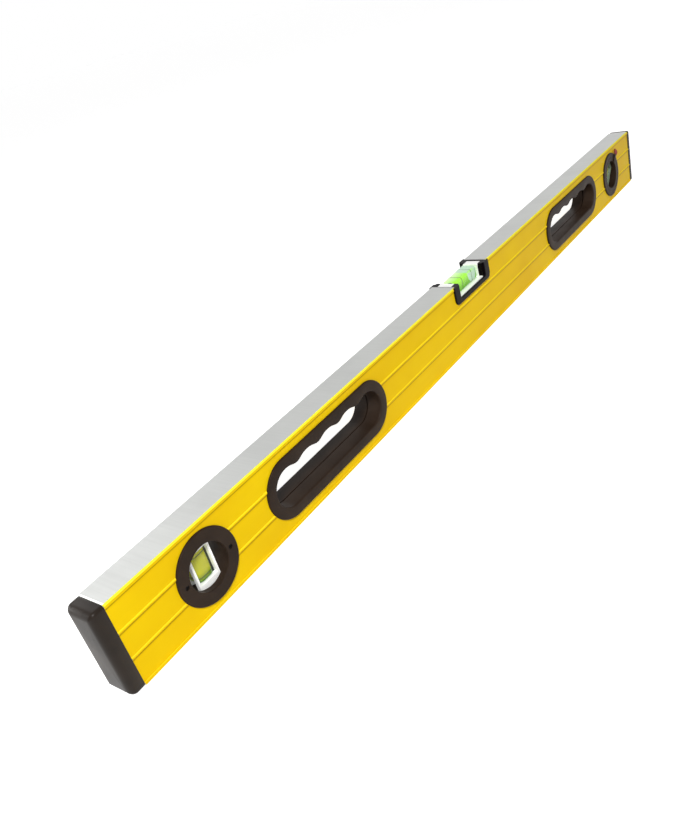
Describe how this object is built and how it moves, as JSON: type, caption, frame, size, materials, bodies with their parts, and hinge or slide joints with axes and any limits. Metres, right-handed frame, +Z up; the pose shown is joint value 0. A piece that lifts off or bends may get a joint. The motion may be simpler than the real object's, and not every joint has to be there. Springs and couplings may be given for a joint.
{
  "type": "spirit level",
  "caption": "Box-section spirit level with a centre vial in a top notch, a plumb vial, a turning angle vial, finger-grooved hand holes and moulded end caps.",
  "frame": {"origin": "middle of the milled sole, on the surface that the level stands on", "axes": "+X runs along the beam towards the angle vial, -Y is the front with the screw heads, +Z points up through the centre vial"},
  "size_m": [0.8, 0.0256, 0.057],
  "materials": {
    "beam": "yellow powder coat on the sides, milled bare metal on the top and bottom faces",
    "end_cap": "black impact-resistant plastic, satin",
    "grip": "black moulded plastic, matt",
    "bezel": "black moulded plastic, satin gloss",
    "carrier": "white moulded plastic",
    "acrylic": "clear polished acrylic",
    "gauge": "dark gauge rings",
    "spirit": "lime green dyed spirit, clear",
    "bubble": "air in the spirit",
    "screw": "blackened steel",
    "pointer": "red moulded plastic"
  },
  "bodies": {
    "level": {"beam": "beam", "end_cap_left": "end_cap", "end_cap_right": "end_cap", "grip_left_front": "grip", "grip_left_rear": "grip", "grip_right_front": "grip", "grip_right_rear": "grip", "centre_frame_front": "bezel", "centre_frame_rear": "bezel", "centre_carrier": "carrier", "centre_block": "acrylic", "centre_plug": "carrier", "centre_rings": "gauge", "centre_spirit": "spirit", "plumb_bezel_front": "bezel", "plumb_bezel_rear": "bezel", "plumb_screws": "screw", "plumb_carrier": "carrier", "plumb_block": "acrylic", "plumb_plug": "carrier", "plumb_rings": "gauge", "plumb_spirit": "spirit", "angle_bezel_front": "bezel", "angle_bezel_rear": "bezel"},
    "centre_bubble": {"centre_bubble": "bubble"},
    "plumb_bubble": {"plumb_bubble": "bubble"},
    "angle_drum": {"angle_drum_front": "bezel", "angle_drum_rear": "bezel", "angle_pointer_front": "pointer", "angle_pointer_rear": "pointer", "angle_carrier": "carrier", "angle_block": "acrylic", "angle_plug": "carrier", "angle_rings": "gauge", "angle_spirit": "spirit"},
    "angle_bubble": {"angle_bubble": "bubble"}
  },
  "joints": [
    {"name": "centre_bubble_slide", "type": "slide", "parent": "level", "child": "centre_bubble", "axis": [1, 0, 0], "range_m": [-0.0173, 0], "stiffness_N_per_m": 1, "springref_m": 0.01},
    {"name": "plumb_bubble_slide", "type": "slide", "parent": "level", "child": "plumb_bubble", "axis": [0, 0, 1], "range_m": [-0.0043, 0], "stiffness_N_per_m": 2, "springref_m": 0.01},
    {"name": "angle_vial_turn", "type": "hinge", "parent": "level", "child": "angle_drum", "pos_m": [0.3291, 0, 0.0285], "axis": [0, 1, 0], "continuous": true},
    {"name": "angle_bubble_slide", "type": "slide", "parent": "angle_drum", "child": "angle_bubble", "axis": [0.6428, 0, 0.766], "range_m": [-0.0043, 0], "stiffness_N_per_m": 2, "springref_m": 0.01}
  ]
}
